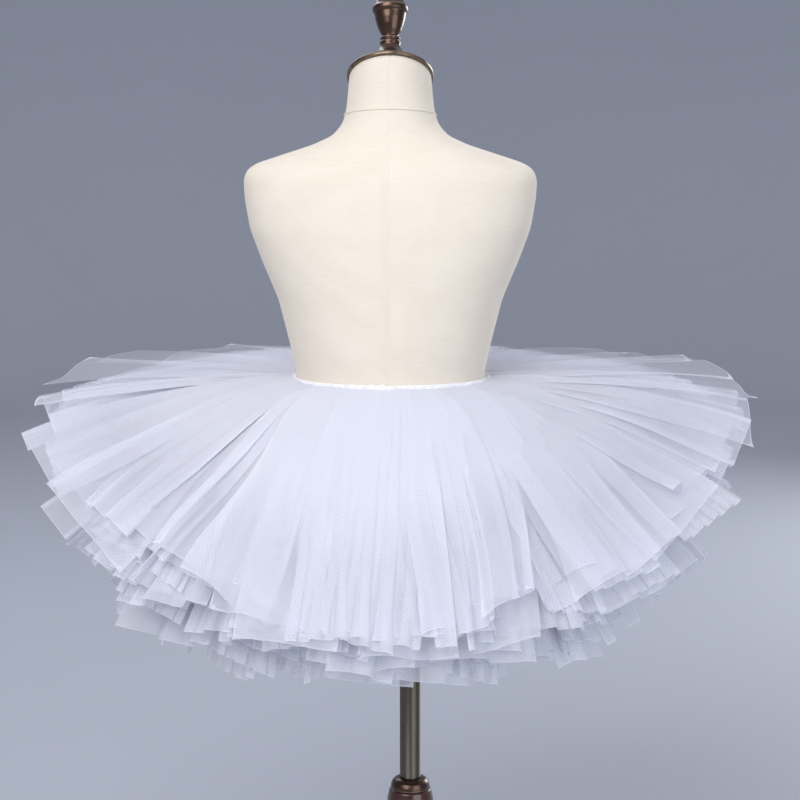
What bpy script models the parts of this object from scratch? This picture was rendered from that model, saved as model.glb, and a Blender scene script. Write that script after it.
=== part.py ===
"""White tulle tutu skirt on a limbless child's dress form with its stand.

Metres, +Z up, the stand's underside at Z = 0. The form's back faces -Y. The waist is centred
on the Z axis. The skirt is five rings of tulle strips, each ring one pleated wall that is slit
between its strips towards the hem, and rooted on an elastic waistband.
"""

import math
import random
from collections import namedtuple

import bpy
from mathutils import Vector

# Clearances and walls
TOUCH_GAP = 0.0003
CLOTH_WALL = 0.0013

# Waist and waistband
WAIST_HEIGHT = 0.665
WAIST_HALF_WIDTH = 0.0985
WAIST_HALF_DEPTH = 0.0805
BAND_CLEARANCE = 0.0005
BAND_WALL = 0.002
BAND_HEIGHT = 0.024
BAND_STEPS = 64

# Tulle strips
STRIP_LENGTH = 0.280
STRIP_CURL = math.radians(16)
STRIP_LENGTH_SPREAD = (0.90, 1.04)
STRIP_CORNER_SLANT = 0.005
ROOT_PITCH = 0.0044
ROOT_MARGIN = 0.0001
FOLD_SLOPE_SIDE = 0.048
FOLD_SLOPE_NEAR = 0.025
NEAR_TURN_POWER = 1.2
FAR_TURN_POWER = 1.6
SLIT_AT_HEM = (0.005, 0.013)
FOLD_JITTER = 0.12
FOLD_RISE = (0.5, 1.0)
SLIT_DIP = (0.3, 1.0)
SLIT_START_ROWS = (2, 3, 3)
ROW_FRACTIONS = (0.0, 0.2, 0.45, 0.72, 1.0)

# Neck cut, cap and finial
NECK_RADIUS = 0.0424
NECK_TOP_HEIGHT = 0.9845
NECK_TOP_Y = 0.012
NECK_CUT_TILT = math.radians(28)
CAP_OVERHANG = 0.0014
CAP_RIM_HEIGHT = 0.0052
CAP_DOME_HEIGHT = 0.011
CAP_LIP = 0.0012
DOME_ARC_STEPS = 5
SEAT_CUTTER_FOOT = -0.02
FINIAL_TILT = math.radians(17)
TURNED_STEPS = 24

# Form body
FORM_POINTS = 36
FORM_FLOOR = 0.505

# Pole and stand
POLE_X = 0.021
POLE_RADIUS = 0.0112
STAND_TOP = 0.241
COLLAR_HEIGHT = 0.012
BASE_RADIUS = 0.150
BASE_HEIGHT = 0.026

Section = namedtuple("Section", "height half_width half_depth centre_y power slant_deg")

# Level slices of the torso from the hips up to the slanted neck cut
FORM_SECTIONS = (
    Section(FORM_FLOOR, 0.1080, 0.0880, -0.004, 2.2, 0),
    Section(0.5120, 0.1140, 0.0940, -0.004, 2.2, 0),
    Section(0.5550, 0.1170, 0.0980, -0.004, 2.2, 0),
    Section(0.6050, 0.1095, 0.0910, -0.002, 2.1, 0),
    Section(0.6460, 0.0985, 0.0805, 0.000, 2.0, 0),
    Section(0.6800, 0.0985, 0.0805, 0.000, 2.0, 0),
    Section(0.7100, 0.1045, 0.0830, 0.000, 2.1, 0),
    Section(0.7580, 0.1166, 0.0860, 0.002, 2.2, 0),
    Section(0.7980, 0.1334, 0.0860, 0.003, 2.3, 0),
    Section(0.8310, 0.1454, 0.0820, 0.002, 2.4, 0),
    Section(0.8620, 0.1505, 0.0750, 0.000, 2.4, 0),
    Section(0.8820, 0.1515, 0.0680, -0.002, 2.4, 0),
    Section(0.8920, 0.1475, 0.0620, -0.003, 2.4, 0),
    Section(0.8985, 0.1370, 0.0580, -0.003, 2.4, 0),
    Section(0.9070, 0.1110, 0.0535, -0.001, 2.3, 0),
    Section(0.9170, 0.0800, 0.0500, 0.002, 2.2, 2),
    Section(0.9260, 0.0600, 0.0475, 0.005, 2.1, 4),
    Section(0.9380, 0.0495, 0.0460, 0.007, 2.0, 6),
    Section(0.9540, 0.0452, 0.0448, 0.009, 2.0, 10),
    Section(NECK_TOP_HEIGHT, NECK_RADIUS, NECK_RADIUS, NECK_TOP_Y, 2.0, 28),
)

Ring = namedtuple("Ring", "radius height")

# The finial's outer side from its crown down. Heights are above its seat's middle.
FINIAL_RINGS = (
    Ring(0.0, 0.0670),
    Ring(0.0050, 0.0663),
    Ring(0.0105, 0.0630),
    Ring(0.0150, 0.0575),
    Ring(0.0160, 0.0545),
    Ring(0.0183, 0.0525),
    Ring(0.0183, 0.0485),
    Ring(0.0166, 0.0460),
    Ring(0.0150, 0.0375),
    Ring(0.0110, 0.0265),
    Ring(0.0080, 0.0210),
    Ring(0.0105, 0.0190),
    Ring(0.0095, 0.0165),
    Ring(0.0108, 0.0143),
    Ring(0.0104, 0.0105),
    Ring(0.0112, 0.0080),
    Ring(0.0132, 0.0050),
    Ring(0.0172, 0.0021),
    Ring(0.0240, -0.0020),
    Ring(0.0240, -0.0120),
    Ring(0.0, -0.0120),
)

# The collar's outer side from the top down. Heights are measured from its top.
COLLAR_RINGS = (
    Ring(0.0, 0.0),
    Ring(0.0130, 0.0),
    Ring(0.0168, -0.0012),
    Ring(0.0194, -0.0038),
    Ring(0.0208, -0.0075),
    Ring(0.0213, TOUCH_GAP - COLLAR_HEIGHT),
    Ring(0.0, TOUCH_GAP - COLLAR_HEIGHT),
)

# The column's bulb and neck from the top down. Heights are measured from its top.
COLUMN_BULB_RINGS = (
    Ring(0.0, 0.0),
    Ring(0.0222, 0.0),
    Ring(0.0246, -0.010),
    Ring(0.0256, -0.025),
    Ring(0.0240, -0.045),
    Ring(0.0185, -0.065),
    Ring(0.0150, -0.075),
    Ring(0.0180, -0.080),
    Ring(0.0150, -0.085),
    Ring(0.0150, -0.120),
    Ring(0.0185, -0.150),
)

# The column's flared foot from the top down. Heights are measured from its underside.
COLUMN_FOOT_RINGS = (
    Ring(0.0270, 0.022),
    Ring(0.0350, 0.010),
    Ring(0.0350, 0.0),
    Ring(0.0, 0.0),
)

# The base's upper side from the middle out. Heights are measured from its top.
BASE_TOP_RINGS = (
    Ring(0.0, 0.0),
    Ring(0.050, 0.0),
    Ring(0.100, -0.005),
    Ring(0.130, -0.008),
    Ring(0.138, -0.013),
    Ring(BASE_RADIUS - 0.002, -0.016),
)
BASE_EDGE_DROP = 0.005
BASE_EDGE_BEVEL = 0.003

Tier = namedtuple("Tier", "name strips droop_near droop_side droop_far seed")

# Rings of strips from the top layer down. Droop is degrees below level at mid length, at the
# near side (-Y), the two sides and the far side (+Y).
TIERS = (
    Tier("tulle_tier_1", 44, 53, 8, 1, 11),
    Tier("tulle_tier_2", 42, 57, 21, 15, 22),
    Tier("tulle_tier_3", 40, 60, 34, 30, 33),
    Tier("tulle_tier_4", 38, 63.5, 47, 45, 44),
    Tier("tulle_tier_5", 36, 67, 60, 60, 55),
)


def clear_scene():
    """Remove every object of the open file."""
    for old in list(bpy.data.objects):
        bpy.data.objects.remove(old, do_unlink=True)


def new_collection(name):
    """Link a new collection under the scene and return it."""
    collection = bpy.data.collections.new(name)
    bpy.context.scene.collection.children.link(collection)
    return collection


def principled(name, colour, roughness, metallic=0.0):
    """A Principled material with one linear colour."""
    material = bpy.data.materials.new(name)
    material.use_nodes = True
    shader = material.node_tree.nodes["Principled BSDF"]
    shader.inputs["Base Color"].default_value = (*colour, 1.0)
    shader.inputs["Roughness"].default_value = roughness
    shader.inputs["Metallic"].default_value = metallic
    return material


def tulle_material():
    return principled("white_tulle", (0.80, 0.83, 0.93), 0.75)


def elastic_material():
    return principled("white_elastic", (0.88, 0.88, 0.90), 0.80)


def cover_material():
    return principled("cream_cotton_cover", (0.86, 0.80, 0.70), 0.90)


def bronze_material():
    return principled("antique_bronze", (0.17, 0.09, 0.05), 0.32, 0.9)


def pole_material():
    return principled("dark_nickel", (0.16, 0.15, 0.13), 0.30, 0.95)


def wood_material():
    return principled("brown_lacquered_wood", (0.12, 0.04, 0.02), 0.35)


def new_mesh_object(name, points, faces, edges, collection):
    """An object at the origin whose mesh has the given points, edges and faces."""
    mesh = bpy.data.meshes.new(name)
    mesh.from_pydata([tuple(p) for p in points], edges, faces)
    mesh.update()
    piece = bpy.data.objects.new(name, mesh)
    collection.objects.link(piece)
    return piece


def turned(name, profile, steps, collection):
    """A solid turned about Z from (radius, height) points that run down its outer side."""
    points = [(radius, 0.0, height) for radius, height in profile]
    edges = [(i, i + 1) for i in range(len(points) - 1)]
    piece = new_mesh_object(name, points, [], edges, collection)
    screw = piece.modifiers.new("turn", "SCREW")
    screw.axis = "Z"
    screw.steps = steps
    screw.render_steps = steps
    screw.use_merge_vertices = True
    screw.merge_threshold = 0.00001
    screw.use_smooth_shade = True
    return piece


def raised(rings, height):
    """A profile's rings as (radius, height) points, moved up by height."""
    return [(ring.radius, height + ring.height) for ring in rings]


def ellipse_at_normal(half_width, half_depth, angle):
    """The ellipse's point whose outward normal has this plan angle."""
    along_x = half_width ** 2 * math.cos(angle)
    along_y = half_depth ** 2 * math.sin(angle)
    scale = math.hypot(half_width * math.cos(angle), half_depth * math.sin(angle))
    return Vector((along_x / scale, along_y / scale, 0.0))


def section_ring(section):
    """One closed ring of a section, a superellipse slanted down towards +Y by its slant."""
    ring = []
    slope = math.tan(math.radians(section.slant_deg))
    for i in range(FORM_POINTS):
        angle = 2 * math.pi * i / FORM_POINTS
        cosine = math.cos(angle)
        sine = math.sin(angle)
        x = section.half_width * math.copysign(abs(cosine) ** (2 / section.power), cosine)
        y = section.half_depth * math.copysign(abs(sine) ** (2 / section.power), sine)
        ring.append(Vector((x, section.centre_y + y, section.height - y * slope)))
    return ring


def build_form_body(collection):
    """The padded torso and neck, lofted through its slices and closed at both ends."""
    rings = [section_ring(section) for section in FORM_SECTIONS]
    points = [point for ring in rings for point in ring]
    faces = []
    for row in range(len(rings) - 1):
        low = row * FORM_POINTS
        high = low + FORM_POINTS
        for i in range(FORM_POINTS):
            j = (i + 1) % FORM_POINTS
            faces.append((low + i, low + j, high + j, high + i))
    faces.append(tuple(reversed(range(FORM_POINTS))))
    top = (len(rings) - 1) * FORM_POINTS
    faces.append(tuple(range(top, top + FORM_POINTS)))
    body = new_mesh_object("form_body", points, faces, [], collection)
    body.data.materials.append(cover_material())
    body.data.shade_smooth()
    return body


def cap_rim_radius():
    """The radius at which the cap's dome starts."""
    return NECK_RADIUS + CAP_OVERHANG


def dome_ball_radius():
    """The radius of the ball that the cap's dome is cut from."""
    return (cap_rim_radius() ** 2 + CAP_DOME_HEIGHT ** 2) / (2 * CAP_DOME_HEIGHT)


def dome_profile(extra):
    """The cap's outer side, its dome swollen by extra, from the crown down to the rim."""
    ball = dome_ball_radius()
    reach = math.asin(cap_rim_radius() / ball)
    centre = CAP_RIM_HEIGHT + CAP_DOME_HEIGHT - ball
    arc = []
    for i in range(DOME_ARC_STEPS + 1):
        angle = reach * i / DOME_ARC_STEPS
        arc.append(((ball + extra) * math.sin(angle), centre + (ball + extra) * math.cos(angle)))
    return arc


def place_on_neck_cut(piece):
    """Set a turned piece on the slanted neck cut, drawn out to the cut's oval."""
    piece.location = (0.0, NECK_TOP_Y, NECK_TOP_HEIGHT)
    piece.rotation_euler = (-NECK_CUT_TILT, 0.0, 0.0)
    piece.scale = (1.0, 1.0 / math.cos(NECK_CUT_TILT), 1.0)


def build_neck_cap(collection):
    """The low domed cap with a rounded rim."""
    rim = cap_rim_radius()
    profile = dome_profile(0.0)
    profile += [
        (rim + CAP_LIP, CAP_RIM_HEIGHT - CAP_LIP),
        (rim + CAP_LIP, TOUCH_GAP + CAP_LIP),
        (rim, TOUCH_GAP),
        (0.0, TOUCH_GAP),
    ]
    cap = turned("neck_cap", profile, TURNED_STEPS, collection)
    place_on_neck_cut(cap)
    cap.data.materials.append(bronze_material())
    return cap


def build_finial(collection, cutters):
    """The vase-shaped knob, its foot hollowed to the cap's dome."""
    finial = turned("finial", FINIAL_RINGS, TURNED_STEPS, collection)
    ball = dome_ball_radius()
    lean = NECK_CUT_TILT - FINIAL_TILT
    stretch = 1.0 / math.cos(NECK_CUT_TILT)
    across = ball * math.sin(lean) * stretch
    above = CAP_RIM_HEIGHT + CAP_DOME_HEIGHT - ball * (1 - math.cos(lean))
    cut_cos = math.cos(NECK_CUT_TILT)
    cut_sin = math.sin(NECK_CUT_TILT)
    finial.location = (
        0.0,
        NECK_TOP_Y - across * cut_cos + above * cut_sin,
        NECK_TOP_HEIGHT + across * cut_sin + above * cut_cos,
    )
    finial.rotation_euler = (-FINIAL_TILT, 0.0, 0.0)
    finial.data.materials.append(bronze_material())

    seat = dome_profile(TOUCH_GAP)
    seat.append((seat[-1][0], SEAT_CUTTER_FOOT))
    seat.append((0.0, SEAT_CUTTER_FOOT))
    cutter = turned("cap_dome_cutter", seat, TURNED_STEPS, cutters)
    place_on_neck_cut(cutter)
    cutter.hide_render = True
    cutter.display_type = "WIRE"
    hollow = finial.modifiers.new("seat_on_dome", "BOOLEAN")
    hollow.operation = "DIFFERENCE"
    hollow.solver = "EXACT"
    hollow.object = cutter
    return finial


def build_pole(collection):
    """The straight tube's outer form, from the stand's collar up to the form's underside."""
    top = FORM_FLOOR - TOUCH_GAP
    foot = STAND_TOP + TOUCH_GAP
    profile = [(0.0, top), (POLE_RADIUS, top), (POLE_RADIUS, foot), (0.0, foot)]
    pole = turned("pole", profile, TURNED_STEPS, collection)
    pole.location.x = POLE_X
    pole.data.materials.append(pole_material())
    return pole


def build_hub_collar(collection):
    """The small bronze collar that the pole stands in."""
    collar = turned("hub_collar", raised(COLLAR_RINGS, STAND_TOP), TURNED_STEPS, collection)
    collar.location.x = POLE_X
    collar.data.materials.append(bronze_material())
    return collar


def build_stand_column(collection):
    """The turned wood column with a bulb at its top."""
    profile = raised(COLUMN_BULB_RINGS, STAND_TOP - COLLAR_HEIGHT)
    profile += raised(COLUMN_FOOT_RINGS, BASE_HEIGHT + TOUCH_GAP)
    column = turned("stand_column", profile, TURNED_STEPS, collection)
    column.location.x = POLE_X
    column.data.materials.append(wood_material())
    return column


def build_stand_base(collection):
    """The round wood foot, flat underneath."""
    profile = raised(BASE_TOP_RINGS, BASE_HEIGHT)
    profile += [
        (BASE_RADIUS, BASE_EDGE_DROP),
        (BASE_RADIUS - BASE_EDGE_BEVEL, 0.0),
        (0.0, 0.0),
    ]
    base = turned("stand_base", profile, 2 * TURNED_STEPS, collection)
    base.location.x = POLE_X
    base.data.materials.append(wood_material())
    return base


def build_waistband(collection):
    """The elastic band, an oval wall round the waist."""
    inner_width = WAIST_HALF_WIDTH + BAND_CLEARANCE
    inner_depth = WAIST_HALF_DEPTH + BAND_CLEARANCE
    heights = (WAIST_HEIGHT - BAND_HEIGHT / 2, WAIST_HEIGHT + BAND_HEIGHT / 2)
    points = []
    for i in range(BAND_STEPS):
        angle = 2 * math.pi * i / BAND_STEPS
        spot = ellipse_at_normal(inner_width, inner_depth, angle)
        for height in heights:
            points.append((spot.x, spot.y, height))
    faces = []
    for i in range(BAND_STEPS):
        j = (i + 1) % BAND_STEPS
        faces.append((2 * i, 2 * j, 2 * j + 1, 2 * i + 1))
    band = new_mesh_object("waistband", points, faces, [], collection)
    wall = band.modifiers.new("wall", "SOLIDIFY")
    wall.thickness = BAND_WALL
    wall.offset = 1.0
    wall.use_even_offset = True
    band.data.materials.append(elastic_material())
    band.data.shade_smooth()
    return band


def side_weights(angle):
    """How much a plan angle faces the near side (-Y) and the far side (+Y), each 0 to 1."""
    facing = math.sin(angle)
    near = max(0.0, -facing) ** NEAR_TURN_POWER
    far = max(0.0, facing) ** FAR_TURN_POWER
    return near, far


def droop_at(tier, angle):
    """The tier's droop at mid length, in radians, for a plan angle."""
    near, far = side_weights(angle)
    side = 1.0 - near - far
    degrees = tier.droop_near * near + tier.droop_far * far + tier.droop_side * side
    return math.radians(degrees)


def fan_point(tier, index, angle, distance, lift):
    """A point of a tier's fan.

    The strip leaves the band at the plan angle and bends down as an even arc. Lift moves the
    point square to the fan, as a share of the largest fold height at this distance.
    """
    middle_droop = droop_at(tier, angle)
    start = middle_droop - STRIP_CURL / 2
    bend = STRIP_CURL / STRIP_LENGTH
    droop = start + bend * distance
    outward = (math.sin(droop) - math.sin(start)) / bend
    downward = (math.cos(start) - math.cos(droop)) / bend
    near, _ = side_weights(angle)
    slope = FOLD_SLOPE_SIDE + (FOLD_SLOPE_NEAR - FOLD_SLOPE_SIDE) * near
    height = lift * slope * distance
    stand_off = TOUCH_GAP + CLOTH_WALL / 2 * abs(math.sin(start)) + ROOT_MARGIN
    half_width = WAIST_HALF_WIDTH + BAND_CLEARANCE + BAND_WALL + stand_off
    half_depth = WAIST_HALF_DEPTH + BAND_CLEARANCE + BAND_WALL + stand_off
    point = ellipse_at_normal(half_width, half_depth, angle)
    plan = outward + height * math.sin(droop)
    point.x += plan * math.cos(angle)
    point.y += plan * math.sin(angle)
    point.z = WAIST_HEIGHT + ROOT_PITCH * (2 - index)
    point.z += height * math.cos(droop) - downward
    return point


def hem_radius(tier, angle):
    """The plan radius of the tier's hem, near enough to turn a slit's width into an angle."""
    waist = (WAIST_HALF_WIDTH + WAIST_HALF_DEPTH) / 2
    return waist + STRIP_LENGTH * math.cos(droop_at(tier, angle))


def build_tier(index, tier, collection):
    """One ring of strips: a pleated wall, one ridge a strip, slit between strips at the hem."""
    rng = random.Random(tier.seed)
    pitch = 2 * math.pi / tier.strips
    last = len(ROW_FRACTIONS) - 1
    mesh_points = []

    def add(angle, distance, lift):
        mesh_points.append(fan_point(tier, index, angle, distance, lift))
        return len(mesh_points) - 1

    def jitter():
        return rng.uniform(-FOLD_JITTER, FOLD_JITTER)

    slit_angles = [pitch * (i + jitter()) for i in range(tier.strips)]
    open_rows = [rng.choice(SLIT_START_ROWS) for _ in range(tier.strips)]
    shared = []
    for i in range(tier.strips):
        dip = -rng.uniform(*FOLD_RISE)
        column = []
        for row in range(open_rows[i]):
            column.append(add(slit_angles[i], STRIP_LENGTH * ROW_FRACTIONS[row], dip))
        shared.append(column)

    def edge_column(slit, side, reach):
        """A strip's edge beside a slit: shared points, then its own down to the hem."""
        column = list(shared[slit])
        first = open_rows[slit]
        dip = -rng.uniform(*SLIT_DIP)
        width = rng.uniform(*SLIT_AT_HEM)
        angle = slit_angles[slit]
        half = side * width / 2 / hem_radius(tier, angle)
        start = ROW_FRACTIONS[first - 1]
        for row in range(first, last + 1):
            share = (ROW_FRACTIONS[row] - start) / (1.0 - start)
            distance = STRIP_LENGTH * ROW_FRACTIONS[row]
            if row == last:
                distance = reach
            column.append(add(angle + half * share, distance, dip))
        return column

    faces = []
    for i in range(tier.strips):
        j = (i + 1) % tier.strips
        reach = STRIP_LENGTH * rng.uniform(*STRIP_LENGTH_SPREAD)
        slant = rng.uniform(-STRIP_CORNER_SLANT, STRIP_CORNER_SLANT)
        left = edge_column(i, 1, reach + slant)
        right = edge_column(j, -1, reach - slant)
        right_angle = slit_angles[j] + (2 * math.pi if j == 0 else 0.0)
        middle_angle = (slit_angles[i] + right_angle) / 2 + jitter() * pitch
        rise = rng.uniform(*FOLD_RISE)
        middle = []
        for row in range(last + 1):
            distance = STRIP_LENGTH * ROW_FRACTIONS[row]
            if row == last:
                distance = reach
            middle.append(add(middle_angle, distance, rise))
        for row in range(last):
            faces.append((left[row], left[row + 1], middle[row + 1], middle[row]))
            faces.append((middle[row], middle[row + 1], right[row + 1], right[row]))
    ring = new_mesh_object(tier.name, mesh_points, faces, [], collection)
    wall = ring.modifiers.new("wall", "SOLIDIFY")
    wall.thickness = CLOTH_WALL
    wall.offset = 0.0
    wall.use_even_offset = True
    ring.data.materials.append(tulle_material())
    return ring


def main():
    clear_scene()
    model = new_collection("tutu_skirt_on_dress_form")
    cutters = new_collection("cutters")
    build_form_body(model)
    build_neck_cap(model)
    build_finial(model, cutters)
    build_pole(model)
    build_hub_collar(model)
    build_stand_column(model)
    build_stand_base(model)
    build_waistband(model)
    for index, tier in enumerate(TIERS):
        build_tier(index, tier, model)


main()
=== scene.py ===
import math

import bpy
import numpy as np
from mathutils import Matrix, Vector


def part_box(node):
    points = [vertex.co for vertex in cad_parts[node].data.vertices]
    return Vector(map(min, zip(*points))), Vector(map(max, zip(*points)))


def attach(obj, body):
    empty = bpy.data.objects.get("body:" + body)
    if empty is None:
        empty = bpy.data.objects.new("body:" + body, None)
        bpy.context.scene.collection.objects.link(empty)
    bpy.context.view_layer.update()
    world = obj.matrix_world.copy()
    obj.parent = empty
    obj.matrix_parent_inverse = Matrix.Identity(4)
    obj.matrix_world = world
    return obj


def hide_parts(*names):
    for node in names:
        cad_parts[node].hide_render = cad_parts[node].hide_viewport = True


bl_info = {
    "name": "Tulle tutu on a dress form",
    "version": (1, 0, 0),
    "blender": (4, 5, 0),
    "location": "View3D > Sidebar > Tutu",
    "description": "Dresses a child's dress form, its stand and a tutu of knotted tulle strips",
    "category": "Object",
}

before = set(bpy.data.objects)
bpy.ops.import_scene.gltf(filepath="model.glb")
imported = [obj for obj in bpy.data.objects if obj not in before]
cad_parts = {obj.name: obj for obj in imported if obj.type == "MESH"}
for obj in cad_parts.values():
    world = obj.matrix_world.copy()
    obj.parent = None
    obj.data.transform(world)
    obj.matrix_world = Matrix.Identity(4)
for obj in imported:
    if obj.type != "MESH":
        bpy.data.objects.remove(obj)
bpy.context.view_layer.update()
band_low, band_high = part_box("waistband")
base_low, base_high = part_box("stand_base")
pole_low, pole_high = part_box("pole")

MM = 0.001
ROOT_BODY = "root"

# The torso's slices, hips to neck cut: height, half width, half depth, centre y, power, slant
FORM_SLICES = np.array((
    (0.5050, 0.1080, 0.0880, -0.004, 2.2, 0),
    (0.5120, 0.1140, 0.0940, -0.004, 2.2, 0),
    (0.5550, 0.1170, 0.0980, -0.004, 2.2, 0),
    (0.6050, 0.1095, 0.0910, -0.002, 2.1, 0),
    (0.6460, 0.0985, 0.0805, 0.000, 2.0, 0),
    (0.6800, 0.0985, 0.0805, 0.000, 2.0, 0),
    (0.7100, 0.1045, 0.0830, 0.000, 2.1, 0),
    (0.7580, 0.1166, 0.0860, 0.002, 2.2, 0),
    (0.7980, 0.1334, 0.0860, 0.003, 2.3, 0),
    (0.8310, 0.1454, 0.0820, 0.002, 2.4, 0),
    (0.8620, 0.1505, 0.0750, 0.000, 2.4, 0),
    (0.8820, 0.1515, 0.0680, -0.002, 2.4, 0),
    (0.8920, 0.1475, 0.0620, -0.003, 2.4, 0),
    (0.8985, 0.1370, 0.0580, -0.003, 2.4, 0),
    (0.9070, 0.1110, 0.0535, -0.001, 2.3, 0),
    (0.9170, 0.0800, 0.0500, 0.002, 2.2, 2),
    (0.9260, 0.0600, 0.0475, 0.005, 2.1, 4),
    (0.9380, 0.0495, 0.0460, 0.007, 2.0, 6),
    (0.9540, 0.0452, 0.0448, 0.009, 2.0, 10),
    (0.9845, 0.0424, 0.0424, 0.012, 2.0, 28),
))

# Layers of strips from the top down: node, droop in degrees near, side and far, seed
LAYERS = (
    ("tulle_tier_1", 53, 8, 1, 101),
    ("tulle_tier_2", 57, 21, 15, 202),
    ("tulle_tier_3", 60, 34, 30, 303),
    ("tulle_tier_4", 63.5, 47, 45, 404),
    ("tulle_tier_5", 67, 60, 60, 505),
)

# Strips of the top layer folded one by one, those of the shown side first: degrees round from the
# near middle, share of the length, sway in mm, twist in degrees, folds, fold angle, fold height,
# lift in mm
HAND_FOLDS = (
    (-33, 0.93, -8, -8, 1.0, 1.40, 0.60, 5),
    (-20, 1.03, 4, 3, 0.9, 0.80, 0.30, 1),
    (-4, 1.00, -3, 5, 3.4, 1.55, 0.60, 2),
    (6, 0.97, 13, 8, 3.2, 1.55, 0.60, 3),
    (14, 0.99, -11, 10, 2.6, 1.50, 0.60, 3),
    (24, 0.91, -24, -15, 1.2, 1.30, 0.80, 6),
    (33, 0.87, 18, 14, 1.3, 1.35, 0.80, 7),
    (46, 0.96, -15, 6, 1.0, 1.10, 0.50, 3),
    (68, 0.86, 8, -17, 1.6, 1.40, 0.70, 4),
    (-55, 0.91, 12, 9, 3.0, 1.50, 0.60, 3),
    (-72, 0.95, -12, 14, 1.3, 1.30, 0.70, 4),
    (88, 0.98, -6, 3, 0.8, 0.70, 0.30, 10),
    (97, 1.00, 8, -4, 0.9, 0.60, 0.25, 20),
    (112, 0.95, -10, 5, 0.8, 0.70, 0.25, 27),
    (124, 0.98, 14, -6, 1.4, 0.90, 0.25, 20),
    (138, 0.92, -12, 3, 1.0, 0.80, 0.15, 10),
    (158, 0.94, 16, 4, 2.8, 1.50, 0.25, 0),
    (180, 0.90, -18, -4, 1.2, 1.30, 0.15, 0),
    (201, 0.96, 14, 3, 1.1, 1.20, 0.15, 0),
    (222, 0.91, -10, -4, 1.0, 0.80, 0.25, 10),
    (238, 0.98, 12, 6, 0.8, 0.70, 0.25, 20),
    (253, 0.96, -8, -4, 0.9, 0.60, 0.25, 22),
    (264, 0.97, 6, 4, 0.8, 0.70, 0.30, 12),
)


def hex_to_linear(text):
    """An sRGB hex colour as linear red, green and blue."""
    parts = np.array([int(text[i:i + 2], 16) for i in (0, 2, 4)]) / 255
    linear = np.where(parts <= 0.04045, parts / 12.92, ((parts + 0.055) / 1.055) ** 2.4)
    return tuple(float(part) for part in linear)


def length_property(name, description, default):
    """A length in metres for the sizes group."""
    return bpy.props.FloatProperty(
        name=name, description=description, default=default, unit="LENGTH", subtype="DISTANCE")


def colour_property(name, description, default):
    """A colour for the colours group, from its sRGB hex value."""
    return bpy.props.FloatVectorProperty(
        name=name, description=description, default=hex_to_linear(default),
        subtype="COLOR", size=3, min=0.0, max=1.0)


class TutuSizes(bpy.types.PropertyGroup):
    """Sizes of the skirt, the form and its stand."""

    waist_height: length_property(
        "Waist height", "Height of the waistband's middle", (band_low.z + band_high.z) / 2)
    waist_half_width: length_property(
        "Band half width", "Outer half width of the waistband", band_high.x)
    waist_half_depth: length_property(
        "Band half depth", "Outer half depth of the waistband", band_high.y)
    band_height: length_property(
        "Band height", "Height of the elastic waistband", band_high.z - band_low.z)
    strip_length: length_property(
        "Strip length", "Length of a tulle strip from knot to hem", 0.280)
    cut_width: length_property(
        "Cut width", "Width of the tulle that a strip is cut from", 0.105)
    strips_a_layer: bpy.props.IntProperty(
        name="Strips a layer", description="Strips in each of the five layers", default=70)
    knots: bpy.props.IntProperty(
        name="Knots", description="Knots of tulle round the waistband", default=76)
    strip_curl: bpy.props.FloatProperty(
        name="Strip curl", description="How far a strip bends down over its length",
        default=math.radians(16), subtype="ANGLE")
    neck_tilt: bpy.props.FloatProperty(
        name="Neck cut tilt", description="Slant of the neck cut down to the chest side",
        default=math.radians(28), subtype="ANGLE")
    finial_tilt: bpy.props.FloatProperty(
        name="Finial tilt", description="Lean of the finial to the chest side",
        default=math.radians(17), subtype="ANGLE")


class TutuColours(bpy.types.PropertyGroup):
    """Colours of the cloth, the metal, the wood and the room."""

    tulle: colour_property("Tulle", "White nylon net with a cool cast", "F6F7FF")
    elastic: colour_property("Elastic", "White woven elastic", "F4F4F6")
    cotton: colour_property("Cotton cover", "Cream cotton of the form", "E2D9CB")
    cotton_shade: colour_property("Cotton slub", "Darker threads in the cotton", "D6CAB9")
    bronze: colour_property("Bronze", "Dark antique plating", "4E382B")
    bronze_worn: colour_property("Worn bronze", "Plating rubbed light on raised edges", "94806A")
    nickel: colour_property("Pole metal", "Dark nickel plate", "837C71")
    wood: colour_property("Wood", "Brown lacquered wood", "4A2414")
    wood_dark: colour_property("Wood grain", "Dark grain of the wood", "260F08")
    floor: colour_property("Floor", "Pale grey studio floor", "A9AEB9")


def ease_rows(rows, spacing, window):
    """Rows of a table drawn evenly along its polyline and rounded at its corners.

    The first two columns are the polyline's own place. Every column is read in straight runs
    at an even spacing along it, then averaged over a window. Past each end the run is
    mirrored through the end point, so that the ends stay where they are.
    """
    steps = np.hypot(np.diff(rows[:, 0]), np.diff(rows[:, 1]))
    along = np.concatenate(([0.0], np.cumsum(steps)))
    count = max(8, int(along[-1] / spacing) + 1)
    even = np.linspace(0.0, along[-1], count)
    fine = np.stack([np.interp(even, along, column) for column in rows.T], axis=1)
    half = max(1, int(window / spacing / 2))
    before = 2 * fine[:1] - fine[half:0:-1]
    after = 2 * fine[-1:] - fine[-2:-half - 2:-1]
    padded = np.concatenate((before, fine, after))
    kernel = np.hanning(2 * half + 3)[1:-1]
    kernel /= kernel.sum()
    return np.stack([np.convolve(column, kernel, mode="valid") for column in padded.T], axis=1)


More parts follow.
